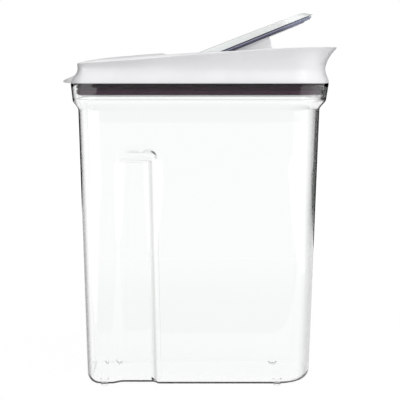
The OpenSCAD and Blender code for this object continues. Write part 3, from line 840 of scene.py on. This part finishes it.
def moulded_plastic(name, pale, shaded, roughness):
    """Opaque moulded plastic: faint cloudiness, fine surface grain and a soft gloss."""
    n = Nodes(name)
    cloud = n.noise(n.place(), 38.0, 3.0)
    grain = n.noise(n.place(), 2600.0, 2.0)
    wave = n.noise(n.place(), 22.0, 1.0)
    colour = n.blend(n.span(cloud, 0.3, 0.7), shaded, pale)
    height = n.math("ADD", n.math("MULTIPLY", grain, 0.25), wave)
    patches = n.noise(n.place(), 260.0)
    shader = n.add("ShaderNodeBsdfPrincipled", {
        "Base Color": colour,
        "Roughness": n.span(patches, 0.3, 0.7, roughness - 0.04, roughness + 0.05),
        "Specular IOR Level": 0.45,
        "Subsurface Weight": 0.04,
        "Subsurface Radius": (0.9, 0.9, 1.0),
        "Subsurface Scale": 0.002,
        "Normal": n.bump(height, 0.12, 0.00015)})
    return n.finish(shader.outputs[0])


def silicone(name, deep, pale, sheen, gloss, along, fades, painted_light=None):
    """Matt silicone with a dusty sheen and a fine moulded grain.

    Its colour goes from deep to pale in the direction along, between the two distances, in metres,
    of each of its fades; these fades are painted shade and light. Its last argument gives a painted
    light: a direction, the distances along it between which that light sets in, and its colour.
    """
    n = Nodes(name)
    cloud = n.span(n.noise(n.place(), 120.0, 4.0), 0.35, 0.65)
    height = n.distance(along)
    # The fades are painted shade and light: darker where shade falls, paler where light falls
    shares = n.math("ADD", n.math("MULTIPLY", cloud, 0.15), n.span(height, *fades[0]), clamp=True)
    for fade in fades[1:]:
        shares = n.math("MULTIPLY", shares, n.span(height, *fade))
    colour = n.blend(shares, deep, pale)
    # Painted light: paler towards where the light falls on the piece
    if painted_light:
        towards, reach, painted_light_colour = painted_light
        colour = n.blend(n.span(n.distance(towards), *reach), colour, painted_light_colour)
    grain = n.noise(n.place(), 3200.0, 2.0)
    shader = n.add("ShaderNodeBsdfPrincipled", {
        "Base Color": colour,
        "Roughness": n.span(grain, 0.3, 0.7, 0.42, 0.55),
        "Specular IOR Level": gloss,
        "Sheen Weight": 0.02,
        "Sheen Roughness": 0.4,
        "Sheen Tint": sheen,
        "Normal": n.bump(grain, 0.25, 0.0001)})
    return n.finish(shader.outputs[0])


def drawn_steel(name):
    """Steel wire drawn along its length."""
    n = Nodes(name)
    streaks = n.noise(n.place((900.0, 12.0, 900.0)), 1.0, 3.0)
    shader = n.add("ShaderNodeBsdfPrincipled", {
        "Base Color": n.blend(streaks, rgb(0.5, 0.51, 0.53), rgb(0.66, 0.67, 0.69)),
        "Metallic": 1.0,
        "Roughness": n.span(streaks, 0.2, 0.8, 0.22, 0.4),
        "Normal": n.bump(streaks, 0.2, 0.00005)})
    return n.finish(shader.outputs[0])


EDGE_CLEAR, EDGE_FULL = 0.28, 0.70      # how grazing a look is before the clear plastic gets its painted edge shade
EDGE_PAINTED_SHADE = 0.80                        # how much painted shade it gets there, in place of dark surroundings seen in its edges
SPOUT_END_PAINTED_SHADE_CUT = 0.28                # how much less of that painted shade the low part of the spout's end has
SPOUT_END_UPPER_PAINTED_SHADE = 0.46                  # how much more painted shade the upper part has than the low part


def clear_plastic(name):
    """Clear rigid plastic.

    Its colour carries painted shade where it is looked along rather than through, in place of the
    dark surroundings that its edges would show, apart from its floor and what shows through it;
    that painted shade is stronger on the upper part of the spout's end. It lets light pass on to
    what is around it.
    """
    n = Nodes(name)
    coords = n.place()
    wave = n.noise(n.place((1.0, 1.0, 0.35)), 16.0, 2.0)
    grazing = n.add("ShaderNodeLayerWeight", {"Blend": 0.5}).outputs["Facing"]
    geometry = n.add("ShaderNodeNewGeometry").outputs
    normal_z = n.add("ShaderNodeSeparateXYZ", {"Vector": geometry["Normal"]}).outputs["Z"]
    upright = n.span(n.math("ABSOLUTE", normal_z), 0.25, 0.8, 1.0, 0.0)
    rays = n.add("ShaderNodeLightPath").outputs
    outermost = n.math("SUBTRACT", 1.0, rays["Transmission Depth"], clamp=True)
    place = n.add("ShaderNodeSeparateXYZ", {"Vector": coords})
    spout_end = n.span(place.outputs["X"], 0.04, 0.1)
    upper = n.span(place.outputs["Z"], 0.11, 0.16)
    first_walls = n.math("MULTIPLY", upright, outermost)
    # Painted shade: the base colour goes dark at grazing views on the outer upright walls, in place
    # of dark surroundings seen in the edges, and more so on the upper part of the spout's end
    edge = n.math("MULTIPLY", n.span(grazing, EDGE_CLEAR, EDGE_FULL), first_walls)
    extra = n.math("SUBTRACT", n.math("MULTIPLY", upper, SPOUT_END_UPPER_PAINTED_SHADE), SPOUT_END_PAINTED_SHADE_CUT)
    reach = n.math("MULTIPLY", spout_end, extra)
    dark = n.math("MULTIPLY", edge, n.math("ADD", reach, EDGE_PAINTED_SHADE), clamp=True)
    tint = n.blend(dark, rgb(0.974, 0.983, 0.978), rgb(0.008, 0.010, 0.008))
    glass = n.add("ShaderNodeBsdfPrincipled", {
        "Base Color": tint,
        "Roughness": 0.012,
        "IOR": 1.5,
        "Specular Tint": rgb(0.65, 0.65, 0.65),
        "Transmission Weight": 1.0,
        "Normal": n.bump(wave, 0.03, 0.0004)})
    through = n.math("MAXIMUM", rays["Is Shadow Ray"], rays["Is Diffuse Ray"])
    open_air = n.add("ShaderNodeBsdfTransparent", {"Color": rgb(0.985, 0.99, 0.987)})
    mix = n.add("ShaderNodeMixShader", {0: through, 1: glass.outputs[0], 2: open_air.outputs[0]})
    return n.finish(mix.outputs[0])


# ---------------------------------------------------------------- the pieces in place


def dress(obj, node, body, material):
    obj.data.materials.clear()
    obj.data.materials.append(material)
    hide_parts(node)
    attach(obj, body)


PLASTICS = (                            # name, pale and shaded colour, roughness
    ("white_plastic", rgb(0.83, 0.83, 0.845), rgb(0.80, 0.80, 0.82), 0.34),
    ("flap_white", rgb(0.775, 0.80, 0.79), rgb(0.75, 0.775, 0.765), 0.34),
    ("pale_plastic", rgb(0.93, 0.928, 0.935), rgb(0.91, 0.905, 0.915), 0.38))
# Heights above the pivot, in millimetres, between which the flap seal turns pale, and dark again:
# painted shade in its grooves and on the wrap below, painted light on its crest
CREST_LIGHT_AND_SHADE_FADES = ((-0.75, -0.6), (0.45, 0.3))
PAINTED_LIGHT_START, PAINTED_LIGHT_END = -50.0, 8.0     # where the painted light on the seal sets in and is full, ahead of the nose


def lid_silicone():
    """The plum silicone of the lid's seal, with painted shade that darkens it towards its top,
    under the rim and the lid, so it is palest at its foot.
    """
    deep, pale = rgb(0.002, 0.0, 0.001), rgb(0.044, 0.017, 0.034)
    # Painted shade: the seal darkens towards its top, where the rim and the lid shade it
    fades = [(RIM_Z * MM, (RIM_Z - LID_SEAL_H) * MM)]
    return silicone("plum_silicone", deep, pale, rgb(0.7, 0.5, 0.62), 0.03, (0, 0, 1), fades)


def flap_silicone():
    """The indigo silicone of the flap's seal, with painted shade in its grooves and on its wrap, a
    paler painted crest, and painted light towards its nose, where light from the right falls.
    """
    deep, pale, painted_light_colour = rgb(0.055, 0.058, 0.098), rgb(0.29, 0.295, 0.405), rgb(0.37, 0.40, 0.53)
    ahead, up = (FLAP_TURN @ Vector(axis) for axis in ((1, 0, 0), (0, 0, 1)))
    pivot, nose = up.z * PIVOT_Z, ahead.z * PIVOT_Z + NOSE_LEN
    # Painted shade and light: the seal is pale on its crest and dark in its grooves and on the
    # wrap, where shade falls
    fades = [[(pivot + v) * MM for v in fade] for fade in CREST_LIGHT_AND_SHADE_FADES]
    # Painted light: paler towards the nose, where the light from the right falls
    painted_light = (ahead, [(nose + u) * MM for u in (PAINTED_LIGHT_START, PAINTED_LIGHT_END)], painted_light_colour)
    return silicone("indigo_silicone", deep, pale, rgb(0.5, 0.5, 0.9), 0.6, up, fades, painted_light)


def build_pieces():
    white, flap_white, pale = (moulded_plastic(*look) for look in PLASTICS)
    plum, indigo = lid_silicone(), flap_silicone()
    clear = clear_plastic("clear_plastic")
    dress(make_container(), "container", "container", clear)
    dress(make_lid_shell(), "lid_shell", "lid", white)
    dress(make_lid_base(), "lid_base", "lid", white)
    dress(make_lid_seal(), "lid_seal", "lid", plum)
    dress(make_flap_cover(), "flap_cover", "flap", flap_white)
    dress(make_flap_plug(), "flap_plug", "flap", pale)
    dress(make_flap_seal(), "flap_seal", "flap", indigo)
    pin = frame["nodes"]["hinge_pin"]
    pin.data.materials.clear()
    pin.data.materials.append(drawn_steel("steel"))


# ---------------------------------------------------------------- camera, floor and light

CAMERA_PLACE = (0.0, -1.1, 0.2695)
CAMERA_DOWN = 5.73                      # degrees below level
PHOTO_SIDE, FOCAL_PX = 400, 1246        # the photograph's side and focal length, in pixels
SENSOR = 36.0
FLOOR_HALF, FLOOR_Z = 6000, -0.2
FLOOR_SHADOW = 0.16                     # how much of the floor's own shading shows near the object
FLOOR_NEAR, FLOOR_FAR = 0.3, 0.75       # distances, in metres, between which that fades out
AMBIENT = 0.60                          # strength of the world's light on the object
LIT_POINT = (0.0, 0.0, 0.2)             # what the lamps point at
LAMPS = (                               # name, place, size and power
    ("top_light", (0.25, -0.5, 1.6), 1.2, 6.0),
    ("front_light", (0.88, -1.4, 0.72), 0.9, 12.2))
CARDS = (                               # name, corner, opposite corner and strength
    ("dark_front_card", (-205, -1300, -400), (900, -1300, 1200), 0.0),
    ("bright_front_card", (-1100, -1300, -400), (-205, -1300, 1200), 3.2),
    ("dark_back_card", (-1500, 1300, -400), (1500, 1300, 1200), 0.0),
    ("dark_floor_card", (-188, -1300, 1), (550, -220, 1), 0.0),
    ("bright_spout_card", (550, -1300, 1), (2500, 100, 1), 2.2),
    ("dark_spout_card", (100, 780, 1), (1500, 1300, 1), 0.0),
    ("bright_floor_card", (-900, -1300, 1), (-188, -220, 1), 3.2),
    ("bright_right_card", (500, -1290, 650), (1400, -1290, 1500), 3.5))


def add_camera():
    data = bpy.data.cameras.new("camera")
    data.sensor_width = SENSOR
    data.lens = SENSOR * FOCAL_PX / PHOTO_SIDE
    data.clip_start, data.clip_end = 0.01, 100
    camera = bpy.data.objects.new("camera", data)
    camera.location = CAMERA_PLACE
    camera.rotation_euler = (math.radians(90 - CAMERA_DOWN), 0, 0)
    bpy.context.scene.collection.objects.link(camera)
    bpy.context.scene.camera = camera


def seen(n):
    """1 for a ray from the camera, a gloss or a clear piece, which all see the white backdrop."""
    rays = n.add("ShaderNodeLightPath").outputs
    return n.math("MAXIMUM", rays["Is Camera Ray"],
                  n.math("MAXIMUM", rays["Is Glossy Ray"], rays["Is Transmission Ray"]))


def hide(obj, *rays):
    """Makes obj unseen by some kinds of ray."""
    for ray in rays:
        setattr(obj, "visible_" + ray, False)


def add_floor():
    n = Nodes("floor_white")
    bounce = n.add("ShaderNodeBsdfDiffuse", {"Color": rgb(0.5, 0.5, 0.5)})
    diffuse = n.add("ShaderNodeBsdfDiffuse", {"Color": rgb(0.95, 0.95, 0.95)})
    glow = n.add("ShaderNodeEmission", {"Color": rgb(1, 1, 1), "Strength": 1.04})
    distance = n.add("ShaderNodeVectorMath", {0: n.place()}, operation="LENGTH").outputs["Value"]
    share = n.span(distance, FLOOR_NEAR, FLOOR_FAR, FLOOR_SHADOW, 0.0)
    white = n.add("ShaderNodeMixShader", {0: share, 1: glow.outputs[0], 2: diffuse.outputs[0]})
    mix = n.add("ShaderNodeMixShader", {0: seen(n), 1: bounce.outputs[0], 2: white.outputs[0]})
    signs = ((-1, -1), (1, -1), (1, 1), (-1, 1))
    corners = [(x * FLOOR_HALF, y * FLOOR_HALF, FLOOR_Z) for x, y in signs]
    floor = mesh_object("floor", corners, [(0, 1, 2, 3)])
    floor.data.materials.append(n.finish(mix.outputs[0]))


def add_world():
    n = Nodes("studio", "worlds", "ShaderNodeOutputWorld")
    level = n.add("ShaderNodeMapRange", {"Value": seen(n), "To Min": AMBIENT, "To Max": 1.0})
    light = n.add("ShaderNodeBackground", {"Color": rgb(1, 1, 1), "Strength": level.outputs[0]})
    bpy.context.scene.world = n.finish(light.outputs[0])


def add_lamp(name, place, size, power):
    data = bpy.data.lights.new(name, "AREA")
    data.shape = "SQUARE"
    data.size = size
    data.energy = power
    lamp = bpy.data.objects.new(name, data)
    lamp.location = place
    lamp.rotation_euler = (Vector(LIT_POINT) - Vector(place)).to_track_quat("-Z", "Y").to_euler()
    hide(lamp, "camera", "glossy", "transmission")
    bpy.context.scene.collection.objects.link(lamp)


def add_card(name, low, high, strength):
    """A flat card, from corner to opposite corner, that only shows in gloss."""
    n = Nodes(name)
    (x0, y0, z0), (x1, y1, z1) = low, high
    corners = [low, (x1, y0, z0), high, (x0, y1, z1)]
    card = mesh_object(name, corners, [(0, 1, 2, 3)])
    glow = n.add("ShaderNodeEmission", {"Color": rgb(1, 1, 1), "Strength": strength})
    card.data.materials.append(n.finish(glow.outputs[0]))
    hide(card, "camera", "diffuse", "transmission", "shadow")


def light_studio():
    add_world()
    for lamp in LAMPS:
        add_lamp(*lamp)
    for card in CARDS:
        add_card(*card)


build_pieces()
add_camera()
add_floor()
light_studio()
bpy.context.scene.view_settings.view_transform = "Standard"
